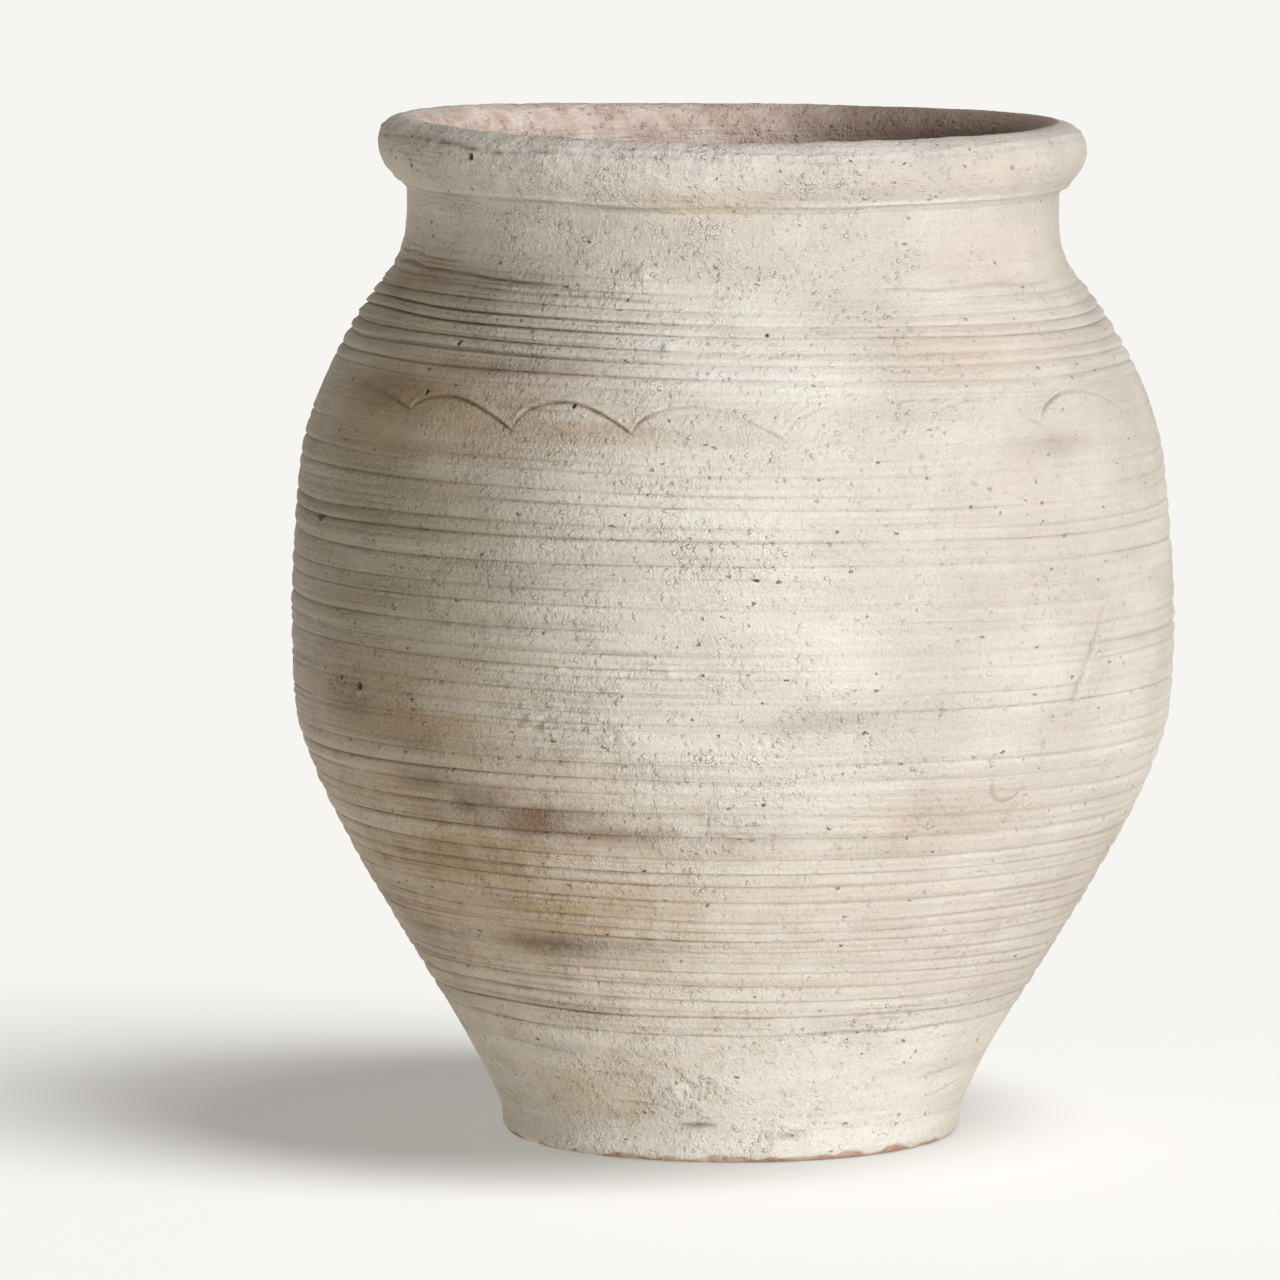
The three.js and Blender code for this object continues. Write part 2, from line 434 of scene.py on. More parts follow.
def scallop_line(part, left_height, right_height):
    """Height along one scallop: a quick round rise to its crown, then a slow fall."""
    climb = np.clip(part, 0, CROWN_SHARE) / CROWN_SHARE
    rise = np.sqrt(np.clip(1 - (1 - climb) ** 2, 0, 1))
    fall = (np.clip(part - CROWN_SHARE, 0, 1 - CROWN_SHARE) / (1 - CROWN_SHARE)) ** 1.7
    start = left_height + (GARLAND_CROWN - left_height) * rise
    end = GARLAND_CROWN - (GARLAND_CROWN - right_height) * fall
    return np.where(part < CROWN_SHARE, start, end)


def garland_strength(at):
    """The stick bit deepest on the left; elsewhere the garland is worn and broken."""
    away = at.away(0)
    clear = smooth_step(2, -10, away) * smooth_step(-74, -46, away)
    clear *= 0.95 + 0.2 * at.patchy_round(33, 40)
    shown = 0.95 * at.facing(46, 26) + 0.8 * at.facing(6, 5)
    shown += 0.75 * smooth_step(85, 120, np.abs(away))
    return np.clip(clear + shown * (0.65 + 0.8 * at.patchy_round(32, 44)), 0.0, 1)


def garland(at):
    """Scallops drawn with a blunt stick: a groove with a burr pushed up along its upper side, and dirt
    and painted shade in the groove.
    """
    stand = np.zeros_like(at.height)
    groove = np.zeros_like(at.height)
    wobble = at.patchy_round(31, 40)
    strength = garland_strength(at)
    band = np.abs(at.height - GARLAND_MIDDLE) < 20
    cusps = all_cusps()
    for (left, left_height), (right, right_height) in zip(cusps, cusps[1:]):
        width = right - left
        share = at.away((left + right) / 2) / width + 0.5
        inside = band & (share > -0.1) & (share < 1.1)
        if not inside.any():
            continue
        part = share[inside]
        line = scallop_line(part, left_height, right_height) + wobble[inside]
        run = np.radians(width) * at.radius[inside]
        slope = 12 / run * np.where(part < 0.1, 5.0, np.where(part < CROWN_SHARE, 1.6, 1.2))
        off = (at.height[inside] - line) / np.sqrt(1 + slope**2)
        ends = smooth_step(-0.03, 0.03, part) * smooth_step(1.03, 0.94, part)
        crisp = ends * strength[inside]
        cut = crisp * hill(off, 0.7)
        stand[inside] += 0.7 * crisp * hill(off - 1.7, 1.1) - 1.2 * cut
        groove[inside] = np.maximum(groove[inside], cut)
    return stand, groove


# Listed marks: angle, height and radius of each pit, bump and crusty patch
PITS = (
    (-46.3, 439.5, 2.2),
    (-68.4, 280.3, 2.3),
    (-55.8, 210.5, 2.2),
    (-22, 336.9, 1.3),
    (5.2, 367.7, 1),
    (-44.4, 360, 1.6),
    (3.1, 265, 0.9),
    (-60, 213, 1.5),
    (-47, 339, 1.6),
    (118, 250, 2.4),
    (150, 340, 2),
    (-140, 140, 2.2),
    (-165, 290, 2.4),
    (-118, 362, 1.8),
)
BUMPS = (
    (-15.1, 393, 3.6, 1.9),
    (-9.5, 362.6, 2.8, 1.3),
    (-7.9, 226, 3, 1.5),
    (-22, 226.5, 2, 1),
    (130, 300, 3.2, 1.5),
    (-150, 200, 3.6, 1.6),
    (175, 390, 2.8, 1.3),
)
CRUSTS = (
    (-58.9, 207.7, 20, 9, 1),
    (-23.9, 203.8, 24, 9, 0.9),
    (-16, 200, 16, 7, 0.8),
    (-9.1, 36.4, 12, 9, 1),
    (29.5, 65.2, 20, 9, 1),
    (6.4, 63, 12, 6, 0.7),
    (1.1, 157, 14, 7, 0.8),
    (-30, 368, 30, 6, 0.5),
    (140, 180, 22, 10, 0.9),
    (-120, 90, 20, 9, 0.9),
    (168, 330, 24, 8, 0.8),
)


def across_drip(at):
    """Distance to the right of the drip's wavering middle line."""
    share = np.clip((DRIP_HEAD[1] - at.height) / (DRIP_HEAD[1] - DRIP_FOOT[1]), 0, 1)
    return at.across(DRIP_HEAD[0] + (DRIP_FOOT[0] - DRIP_HEAD[0]) * share) + 0.8 * at.patchy_up(43, 7)


def slip_drip(at):
    """A run of slip down the right of the belly, with a bead at its foot."""
    across = across_drip(at)
    width = 3.0 + 1.0 * at.patchy_up(44, 9)
    ends = at.rises(199, 208) * at.rises(254, 228)
    body = ends * np.clip(1 - (across / width) ** 2, 0, 1) ** 0.6
    edge = ends * hill(np.abs(across) / width - 1.25, 0.3)
    bead = at.spot(DRIP_FOOT[0], DRIP_FOOT[1] + 1.5, 3.2, 3.4)
    return 1.7 * body + 1.2 * bead - 0.6 * edge


def from_pellet(at):
    """Distance from the pellet's middle, where 1 is its edge."""
    return np.hypot(at.across(PELLET[0]), at.height - PELLET[1]) / PELLET[2]


def pressed_pellet(at):
    """A pellet of clay thumbed onto the wall, raised most along its lower side."""
    out = from_pellet(at)
    low_side = smooth_step(6, -6, at.height - PELLET[1])
    disc = (0.35 + 0.7 * low_side) * smooth_step(1.06, 0.86, out)
    return disc - 0.5 * low_side * hill(out - 1.12, 0.1)


def marks(at):
    """Pits, bumps, crusts, the slip drip and the pellet: relief, pits and crusts."""
    stand = slip_drip(at) + pressed_pellet(at)
    pit = np.zeros_like(at.height)
    for middle, level, size in PITS:
        hole = smooth_step(1.0, 0.5, np.hypot(at.across(middle), at.height - level) / size)
        stand -= PIT_DEPTH * hole
        pit = np.maximum(pit, hole)
    for middle, level, size, rise in BUMPS:
        stand += rise * at.spot(middle, level, size, size) ** 1.5
    crust = at.patches(CRUSTS)
    crumb = at.patchy((1.0, 41, 360, 2.6), (0.6, 42, 210, 4.6))
    stand += 1.3 * smooth_step(0.25, 0.8, crust) * np.maximum(crumb, -0.2)
    return stand, pit, crust


# Long creases where a course was wiped on: start and end angle, start and end height, depth
CREASES = (
    (-84, -24, 389.5, 386, 1.7),
    (-66, -6, 384, 381, 1),
    (-84, -50, 394, 392, 0.8),
    (20, 70, 386, 384, 0.45),
    (-64, -30, 63, 60, 0.8),
    (12, 58, 61, 58.5, 0.6),
    (110, 200, 387, 390, 0.9),
    (-13, -3, 17.6, 17, 0.9),
    (-58, -34, 52, 49, 0.6),
    (46, 62, 33, 38, 0.6),
    (50, 68, 23, 30, 0.6),
    (-30, -14, 27, 25.5, 0.5),
    (150, 190, 30, 34, 0.7),
)


def creases(at):
    """Relief of the long creases, and how deep in one each point sits, which darkens it with dirt and
    painted shade.
    """
    stand = np.zeros_like(at.height)
    deep = np.zeros_like(at.height)
    wobble = 0.8 * at.patchy_round(45, 50)
    for start, end, low, high, depth in CREASES:
        share = (at.away((start + end) / 2) + (end - start) / 2) / (end - start)
        off = at.height - (low + (high - low) * share + wobble)
        fade = depth * smooth_step(0, 0.12, share) * smooth_step(1, 0.8, share)
        cut = fade * hill(off, 0.65)
        stand += 0.35 * fade * hill(off - 1.6, 1.1) - cut
        deep = np.maximum(deep, cut)
    return stand, np.clip(deep, 0, 1)


def ledge(at):
    """The crease under the rim, with a thin bead of slip pushed up over it: relief, the crease's dirt
    and painted shade, and the bead's painted highlight.
    """
    strength = np.clip(0.85 + 0.5 * at.patchy_round(46, 16), 0.3, 1.2)
    off = at.height - (421.0 + 0.9 * at.patchy_round(47, 22))
    bead = strength * hill(off - 2.0, 0.9)
    crease = strength * hill(off, 0.8)
    return 1.2 * bead - 0.7 * crease, crease, bead


def over_crest(at):
    """Height over the slip's rough lip, which runs along the rim's crest."""
    return at.height - (445.6 + 1.5 * at.patchy_round(73, 34))


def rim_roughness(at):
    """The roll is sandy on its left half, and the slip ends in a rough lip along its crest."""
    rough = 0.35 + 0.65 * at.facing(-35, 50)
    lumps = at.patchy((0.6, 71, 70, 9), (0.3, 72, 190, 4), (0.3, 74, 420, 2.4))
    broken = np.clip(0.6 + at.patchy((0.7, 75, 240, 3)), 0, 1.2)
    lip = broken * (1.6 * hill(over_crest(at), 0.8) - hill(over_crest(at) + 1.9, 0.8))
    return at.rises(421, 428) * rough * (lumps + lip)


def chips(at):
    """Small flakes lost from the bottom edge."""
    return 1.1 * smooth_step(0.35, 0.9, at.patchy_round(65, 130)) * at.rises(5.5, 1.5)


def unevenness(at):
    """The slow lumps of a wall raised by hand, down to its sand."""
    return at.patchy((0.55, 51, 6, 90), (0.35, 52, 17, 38), (0.16, 53, 60, 11), (0.09, 54, 330, 2.8))


def settled(points):
    """The soft rim sagged a little as the jar dried: higher at the left, low at front and back."""
    side = points[:, 0] / 150
    front = points[:, 1] / 150
    share = smooth_step(300, 450, points[:, 2])
    points[:, 2] += share * (-1.5 * side + 1.4 * front + 1.1 * (side**2 - front**2))
    return points


STAINS = {
    "rust": (
        (-26.7, 155.8, 16, 7, 0.65),
        (-20, 153, 20, 4, 0.6),
        (-26, 351, 26, 4, 0.5),
        (-23, 345, 20, 3, 0.4),
        (-27, 327, 56, 10, 0.4),
        (-52, 336, 44, 14, 0.35),
        (-44, 197, 34, 8, 0.3),
        (8, 424, 16, 4, 0.3),
        (-70, 378, 10, 4, 0.5),
        (125, 140, 24, 8, 0.8),
        (-150, 360, 22, 5, 0.6),
    ),
    "umber": (
        (-33, 160, 62, 14, 0.6),
        (-44, 173, 22, 8, 0.8),
        (-36, 165, 26, 9, 0.95),
        (-28, 158.5, 32, 9, 1),
        (-17, 154, 32, 6, 0.65),
        (-40, 139, 50, 12, 0.45),
        (-34, 122, 60, 12, 0.25),
        (-29.2, 100.5, 34, 6, 1),
        (-53, 339, 34, 9, 0.55),
        (-40, 350, 30, 5, 0.6),
        (-60, 205, 24, 12, 0.5),
        (-50, 405, 40, 6, 0.1),
        (-36, 413, 40, 3, 0.14),
        (-30, 398, 34, 4, 0.1),
        (-38, 50, 24, 3, 0.35),
        (-24, 40, 14, 3, 0.35),
        (-30, 20, 18, 3, 0.3),
        (-8, 17, 7, 1.6, 0.8),
        (14, 12, 6, 1.5, 0.7),
        (-64, 386, 24, 4, 0.25),
        (0, 153, 30, 5, 0.3),
        (20, 150, 34, 5, 0.2),
        (-45, 190, 30, 9, 0.4),
        (10, 205, 46, 5, 0.3),
        (48, 318, 20, 6, 0.3),
        (-62, 100, 26, 8, 0.3),
        (140, 200, 40, 10, 0.7),
        (-140, 120, 46, 10, 0.8),
        (170, 345, 40, 8, 0.6),
    ),
    "tan": (
        (-40, 140, 74, 22, 1),
        (-30, 114, 70, 18, 0.9),
        (-34, 30, 40, 14, 0.55),
        (-46, 130, 120, 70, 0.75),
        (-26, 334, 80, 14, 0.3),
        (-52, 334, 80, 22, 0.4),
        (-60, 400, 60, 20, 0.12),
        (-20, 47, 30, 7, 0.4),
        (-18, 327, 42, 7, 0.45),
        (-34, 324, 50, 10, 0.45),
        (-48, 345, 50, 14, 0.35),
        (-45, 196, 40, 9, 0.5),
        (-66, 384, 22, 8, 0.6),
        (-6, 423, 30, 6, 0.5),
        (-22, 130, 50, 12, 0.3),
        (30, 160, 46, 9, 0.35),
        (34, 355, 42, 9, 0.3),
        (112, 330, 50, 12, 0.7),
        (-128, 150, 70, 18, 0.8),
        (165, 110, 60, 14, 0.7),
    ),
    "peach": (
        (47, 438, 26, 9, 0.9),
        (8, 118, 170, 56, 0.45),
        (46, 250, 120, 110, 0.25),
        (52, 395, 44, 16, 0.7),
        (40, 362, 70, 16, 0.8),
        (25, 150, 90, 24, 0.45),
        (35, 92, 60, 22, 0.35),
        (20, 432, 36, 8, 0.4),
        (34, 312, 90, 34, 0.5),
        (110, 400, 60, 16, 0.6),
        (-160, 250, 90, 40, 0.4),
    ),
}


def thin_slip_and_shade(at):
    """Where the slip lies thin and the clay greys it, in drifts and round the back; down the left side
    and along the right edge, most low down, it is also painted shade.
    """
    away = at.away(-48)
    left = hill(away, np.where(away > 0, 23, 30)) * at.rises(150, 215)
    left *= 1 - 0.4 * at.rises(335, 350) * at.rises(395, 380)
    left *= 1 - 0.95 * at.rises(380, 400)
    back = 0.5 * at.facing(160, 30)
    right = 0.15 * at.facing(76, 30) * (1 + 0.9 * at.rises(190, 110))
    drift = at.patchy((0.5, 61, 8, 60), (0.3, 62, 20, 14))
    return np.clip(left + back + right + 0.5 * drift * (0.2 + left + back), 0, 1)


def thick_slip_and_light(at):
    """Where the lime lies thick and pale: in drifts, and down the front and round the foot, where it
    is also painted light.
    """
    front = at.facing(-5, 22) * (1 - 0.6 * at.rises(380, 400))
    drift = 0.5 + at.patchy((0.5, 66, 9, 70), (0.3, 67, 26, 16))
    return np.clip(0.9 * front + 0.35 * drift + 0.8 * at.rises(70, 52), 0, 1)


def bare_edge(at):
    """Clay showing along the bottom edge, in a thin line with chips."""
    line = 1.9 + 0.9 * at.patchy_round(63, 26) + 2.0 * at.patchy_round(64, 110)
    return smooth_step(0.5, -0.5, at.height - line)


def lip_dirt_and_shade(at):
    """Dirt and painted shade under the slip's rough lip."""
    broken = np.clip(0.75 + at.patchy((0.9, 75, 240, 3)), 0, 1)
    return broken * hill(over_crest(at) + 1.9, 0.9)


def painted_edge_shadows(at):
    """Thin painted shadows beside the slip drip and under the pressed pellet."""
    drip = at.rises(206, 212) * at.rises(248, 240) * hill(across_drip(at) + 3.1, 0.6)
    drip *= np.clip(0.6 + at.patchy((0.8, 48, 9, 4)), 0, 1)
    pellet = smooth_step(1, -6, at.height - PELLET[1]) * hill(from_pellet(at) - 1.08, 0.06)
    return np.maximum(0.9 * drip, 0.6 * pellet)


def sandiness(at):
    """How much sand shows in the slip: most on the left, rim and foot, little on the right."""
    left = at.facing(-30, 34)
    back = 0.6 * smooth_step(95, 130, np.abs(at.away(0)))
    patch = at.patchy((0.3, 81, 14, 24), (0.2, 82, 40, 9))
    low = at.rises(235, 195) * at.rises(120, 160)
    front = at.facing(0, 26) * np.clip(low + 0.6 * at.rises(66, 56) + at.rises(385, 400), 0, 1)
    rim = 0.5 * at.rises(424, 432) * smooth_step(40, 10, at.away(0))
    return np.clip(0.36 + 0.64 * left + back + 0.5 * front + rim + patch * (0.5 + left), 0, 1)


def peeling(at):
    """Where the slip has flaked off in patches: round the foot, and a little up the left side."""
    left = at.facing(-38, 40)
    foot = at.rises(66, 50) * (0.45 + 0.55 * left)
    return np.clip(foot + 0.5 * left * at.rises(230, 190) + 0.5 * at.rises(424, 432), 0, 1)


def rim_sand(at):
    """Sand caught in the slip of the rim, most of it on the left."""
    patch = np.clip(0.4 + at.patchy((1.4, 76, 26, 14)), 0, 1)
    return (0.12 + 0.5 * at.facing(-22, 26)) * patch * at.rises(423, 431)


def lining(at):
    """The pink clay wash inside, up to the slip's edge on the crest."""
    edge = 449.7 + 0.4 * at.patchy_round(73, 34)
    return smooth_step(edge + 0.6, edge - 0.6, at.height)


def shaded_lining(at):
    """Painted shade on the lining: darkest on its right side, where the light does not reach."""
    return smooth_step(20, 75, at.away(0)) * smooth_step(180, 150, np.abs(at.away(0)))


def read_layer(mesh, key):
    values = np.empty(len(mesh.vertices), dtype=np.float32)
    mesh.attributes[key].data.foreach_get("value", values)
    return values.astype(np.float64)


def write_layer(mesh, key, values):
    layer = mesh.attributes.new(key, "FLOAT", "POINT")
    layer.data.foreach_set("value", np.clip(values, 0, 1).astype(np.float32))


def outer_surface(ringed, at):
    """Relief of the outside, and the masks of the slip, stains, dirt and painted light and shade that
    lie on it.
    """
    ridge, groove, crest_lime_and_highlight = ridges(ringed)
    drag, drag_groove = strokes(ringed)
    scallop, scallop_groove = garland(at)
    mark, pit, crust = marks(at)
    crease, crease_dirt_and_shade = creases(at)
    under_rim, rim_crease, rim_bead_highlight = ledge(at)
    stand = ridge + drag + scallop + mark + unevenness(at)
    stand += crease + under_rim + rim_roughness(at) - chips(at)

    # Dirt and painted shade in the crease under the rim and under the slip's lip
    rim_dirt_and_shade = np.maximum(rim_crease, lip_dirt_and_shade(at)) * dirt_and_shade_share(at)
    for dirt_and_shade in (drag_groove, scallop_groove, rim_dirt_and_shade, 0.9 * crease_dirt_and_shade, painted_edge_shadows(at)):
        groove = np.maximum(groove, dirt_and_shade)
    paint = {kind: at.patches(STAINS[kind]) for kind in STAINS}
    paint["groove"] = groove
    paint["pit"] = pit
    paint["crust"] = np.maximum(crust, rim_sand(at))
    # Pale lime, with painted highlights on the ridge crests and on the bead under the rim
    paint["thick"] = thick_slip_and_light(at) + 0.65 * crest_lime_and_highlight + 0.8 * rim_bead_highlight
    paint["thick"] += 0.2 * np.clip(slip_drip(at), 0, 1)
    paint["sandy"] = sandiness(at)
    paint["peel"] = peeling(at)
    return stand, paint


def ways_out(layers, height, outside, inside):
    """Which way the relief stands: level on the wall, square to the roll on the rim."""
    rolled = smooth_step(NECK_HEAD[1], NECK_HEAD[1] + 8, height)
    out_r = np.where(outside, 1 + (layers["out_r"] - 1) * rolled, np.where(inside, -1.0, 0.0))
    out_z = np.where(outside, layers["out_z"] * rolled, 0.0)
    crown = inside & (height > RIM_WIDEST[1])
    out_r = np.where(crown, layers["out_r"], out_r)
    out_z = np.where(crown, layers["out_z"], out_z)
    out_r = np.where(inside & (height < SLAB_HEAD[1] + 0.01), 0.0, out_r)
    return out_r, out_z


def shape_surface(mesh):
    """Moves the turned points to the worked surface and paints the masks on them."""
    points = np.empty(len(mesh.vertices) * 3, dtype=np.float32)
    mesh.vertices.foreach_get("co", points)
    points = points.reshape(-1, 3).astype(np.float64)
    layers = {key: read_layer(mesh, key) for key in LAYERS}
    angle = np.arctan2(points[:, 0], -points[:, 1])
    level = layers["height"]
    ringed = Place(angle, level)
    height = level + wandering(ringed)
    radius = layers["radius"] + outline_radius(height) - outline_radius(level)
    at = Place(angle, height, radius)
    outside = layers["face"] > 0.5
    inside = layers["face"] < -0.5

    outer, paint = outer_surface(ringed, at)
    inner = 0.25 * ridges(Place(angle + 1.9, level))[0] + unevenness(Place(angle + 2.5, height))
    stand = np.where(outside, outer, np.where(inside, inner, 0.0))
    out_r, out_z = ways_out(layers, height, outside, inside)
    moved = radius + stand * out_r
    points[:, 0] = np.sin(angle) * moved
    points[:, 1] = -np.cos(angle) * moved
    points[:, 2] = height + stand * out_z
    points = settled(points) * MM
    mesh.vertices.foreach_set("co", points.astype(np.float32).ravel())
    for key in LAYERS:
        mesh.attributes.remove(mesh.attributes[key])

    paint["groove"][~outside] = 0
    # Inside, painted shade on the lining; outside, thin slip with painted shade
    paint["thin"] = np.where(inside, shaded_lining(at), thin_slip_and_shade(at))
    paint["bare"] = np.where(outside, bare_edge(at), np.where(inside, 0.0, 0.6))
    paint["lining"] = np.where(inside, lining(at), 0.0)
    for key, values in paint.items():
        write_layer(mesh, key, values)
    mesh.update()


def profile_points(work, profile, layers):
    """One vertex for each point of a profile, carrying its place and its way out."""
    ring = []
    count = len(profile)
    for index, point in enumerate(profile):
        radius, height, face = point
        before = profile[(index - 1) % count]
        after = profile[(index + 1) % count]
        before = before if before[2] == face else point
        after = after if after[2] == face else point
        along = Vector((after[0] - before[0], after[1] - before[1]))
        along = along.normalized() if along.length > 0 else Vector((0, 1))
        vert = work.verts.new((0, -radius, height))
        for key, value in zip(LAYERS, (radius, height, face, along.y, -along.x)):
            vert[layers[key]] = value
        ring.append(vert)
    return ring


def edges_round(work, layers):
    """Edges that run round the jar: both ends at one height and one radius."""
    found = []
    for edge in work.edges:
        one, two = edge.verts
        level = abs(one[layers["height"]] - two[layers["height"]]) < 1e-4
        same = abs(one[layers["radius"]] - two[layers["radius"]]) < 1e-4
        if level and same:
            found.append(edge)
    return found


def cut_finer(work, middle, level, half_width, half_height, cuts):
    """Cuts the faces round one mark finer, so that its edge comes out clean."""
    level -= wandering(Place(np.radians([middle]), np.array([level])))[0]
    near = []
    for face in work.faces:
        centre = face.calc_center_median()
        if abs(centre.z - level) > half_height:
            continue
        away = turned_away(math.atan2(centre.x, -centre.y), middle)
        out = math.hypot(centre.x, centre.y)
        if abs(math.radians(away)) * out < half_width and out > outline_radius(centre.z) - 2:
            near.append(face)
    edges = list(dict.fromkeys(edge for face in near for edge in face.edges))
    if edges:
        bmesh.ops.subdivide_edges(work, edges=edges, cuts=cuts, use_grid_fill=True)


def turned_piece(name, profile, refine=()):
    """Spins a profile into a closed ring, cuts its rings finer and works the clay's surface."""
    work = bmesh.new()
    layers = {key: work.verts.layers.float.new(key) for key in LAYERS}
    ring = profile_points(work, profile, layers)
    pairs = list(zip(ring, ring[1:]))
    on_axis = profile[0][0] < 0.01
    if not on_axis:
        pairs.append((ring[-1], ring[0]))
    edges = [work.edges.new(pair) for pair in pairs]
    bmesh.ops.spin(
        work,
        geom=ring + edges,
        cent=(0, 0, 0),
        axis=(0, 0, 1),
        angle=TURN,
        steps=SPIN_STEPS,
        use_merge=True,
    )
    if on_axis:
        bmesh.ops.remove_doubles(work, verts=work.verts, dist=0.01)
    rings = edges_round(work, layers)
    bmesh.ops.subdivide_edges(work, edges=rings, cuts=RING_CUTS, use_grid_fill=True)
    for patch in refine:
        cut_finer(work, *patch)
    bmesh.ops.recalc_face_normals(work, faces=work.faces)
    mesh = bpy.data.meshes.new(name)
    work.to_mesh(mesh)
    work.free()
    piece = bpy.data.objects.new(name, mesh)
    scene.collection.objects.link(piece)
    shape_surface(mesh)
    mesh.shade_smooth()
    mesh.set_sharp_from_angle(angle=math.radians(55))
    return piece


class Value:
    """An output of a node, which can be added, taken away and multiplied like a number."""

    def __init__(self, tree, socket):
        self.tree = tree
        self.socket = socket

    def calc(self, operation, other):
        return output_of(self.tree, "ShaderNodeMath", 0, {0: self, 1: other}, operation=operation)

    def __add__(self, other):
        return self.calc("ADD", other)

    def __sub__(self, other):
        return self.calc("SUBTRACT", other)

    def __mul__(self, other):
        return self.calc("MULTIPLY", other)

    def larger(self, other):
        return self.calc("MAXIMUM", other)

    def ranged(self, low, high, to_low=0.0, to_high=1.0):
        """The value carried over from one range to another and held inside it."""
        inputs = {0: self, 1: low, 2: high, 3: to_low, 4: to_high}
        return output_of(self.tree, "ShaderNodeMapRange", 0, inputs, clamp=True)


def add_node(tree, kind, inputs=None, **settings):
    made = tree.nodes.new(kind)
    for key, value in settings.items():
        setattr(made, key, value)
    for key, value in (inputs or {}).items():
        if isinstance(value, Value):
            tree.links.new(value.socket, made.inputs[key])
        else:
            made.inputs[key].default_value = value
    return made


def output_of(tree, kind, key, inputs=None, **settings):
    return Value(tree, add_node(tree, kind, inputs, **settings).outputs[key])


def empty_tree(owner):
    owner.use_nodes = True
    owner.node_tree.nodes.clear()
    return owner.node_tree


def mixed(tree, share, under, over, mode="MIX"):
    inputs = {0: share, 6: under, 7: over}
    return output_of(tree, "ShaderNodeMix", 2, inputs, data_type="RGBA", blend_type=mode)


def cloud(place, scale, detail, roughness=0.55, key="Fac"):
    inputs = {"Vector": place, "Scale": scale, "Detail": detail, "Roughness": roughness}
    return output_of(place.tree, "ShaderNodeTexNoise", key, inputs)


def stretched(place, scale):
    return output_of(place.tree, "ShaderNodeMapping", 0, {"Vector": place, "Scale": scale})


def scaled(offset, factor):
    inputs = {0: offset, "Scale": factor}
    return output_of(offset.tree, "ShaderNodeVectorMath", 0, inputs, operation="SCALE")


def shifted(place, offset):
    return output_of(place.tree, "ShaderNodeVectorMath", 0, {0: place, 1: offset}, operation="ADD")


def scattered(place, scale, rarity, edge, amount):
    """Separate grains or holes, one in some of the cells, with an edge as sharp as asked."""
    cells = add_node(place.tree, "ShaderNodeTexVoronoi", {"Vector": place, "Scale": scale})
    picked = Value(place.tree, cells.outputs["Color"]).ranged(rarity, rarity + 0.12)
    body = Value(place.tree, cells.outputs["Distance"]).ranged(edge[0], edge[1])
    return body * picked * amount


# Slip, stains, dirt, clay and lining; the pale and thin slips, the groove dirt and the shaded lining
# also carry painted light and shade
PALE_SLIP_AND_LIGHT = (0.875, 0.86, 0.81, 1)
PLAIN_SLIP = (0.69, 0.648, 0.612, 1)
WIPED_SLIP = (0.64, 0.575, 0.515, 1)
THIN_SLIP_AND_SHADE = (0.30, 0.25, 0.15, 1)
TAN_STAIN = (0.58, 0.43, 0.245, 1)
UMBER_STAIN = (0.2, 0.143, 0.097, 1)
RUST_STAIN = (0.38, 0.225, 0.17, 1)
PEACH_TINT = (0.71, 0.60, 0.52, 1)
GROOVE_DIRT_AND_SHADE = (0.24, 0.19, 0.14, 1)
PIT_SHADOW = (0.09, 0.07, 0.055, 1)
BARE_CLAY = (0.50, 0.325, 0.235, 1)
PINK_LINING = (0.89, 0.775, 0.70, 1)
MAUVE_LINING = (0.66, 0.50, 0.43, 1)
SHADED_LINING = (0.30, 0.215, 0.175, 1)


# Stains in the order they lie: mask, colour, greatest strength, and least where it is broken
STAIN_COLOURS = (
    ("peach", PEACH_TINT, 0.8, 0.3),
    ("tan", TAN_STAIN, 0.95, 0.4),
    ("umber", UMBER_STAIN, 0.85, 0.7),
    ("rust", RUST_STAIN, 0.62, 0.4),
)


# Masks painted on the points, which the materials read
MASKS = ("rust", "umber", "tan", "peach", "groove", "pit", "crust")
MASKS += ("thin", "thick", "sandy", "peel", "bare", "lining")


def skin_patterns(tree):
    """The painted masks, and patterns from broad drifts to pinholes, for colour and relief."""
    skin = SimpleNamespace()
    for key in MASKS:
        setattr(skin, key, output_of(tree, "ShaderNodeAttribute", "Fac", attribute_name=key))
    place = output_of(tree, "ShaderNodeTexCoord", "Object")
    skin.broad = cloud(place, 20, 3)
    skin.wiped = cloud(stretched(place, (9, 9, 150)), 1, 4, 0.6)
    skin.lines = cloud(stretched(place, (34, 34, 620)), 1, 3, 0.6)
    skin.blotch = cloud(place, 75, 4, 0.65)
    skin.grit = cloud(place, 420, 3, 0.65)
    skin.sand = cloud(place, 1050, 1.5, 0.6)
    patches = cloud(stretched(place, (38, 38, 62)), 1, 3)
    skin.rough = skin.sandy * patches.ranged(0.44, 0.62, 0.3, 1)
    skin.flaked = skin.blotch.ranged(0.57, 0.6) * skin.peel

    wobble = scaled(cloud(place, 700, 2, 0.5, "Color"), 0.0022)
    ragged = shifted(place, wobble)
    crusty = skin.rough.larger(skin.crust).ranged(0.1, 0.8, 0.25, 1)
    skin.crumbs = scattered(ragged, 360, 0.62, (0.42, 0.25), crusty)
    flecked = skin.rough.larger(skin.umber).ranged(0, 0.8, 0.3, 1)
    skin.specks = scattered(ragged, 250, 0.7, (0.25, 0.13), flecked)
    torn = shifted(stretched(place, (1, 1, 1.5)), scaled(wobble, 1.9))
    open_skin = skin.sandy.ranged(0, 0.7, 0.55, 1)
    skin.pinholes = scattered(torn, 125, 0.6, (0.145, 0.088), open_skin)
    return skin


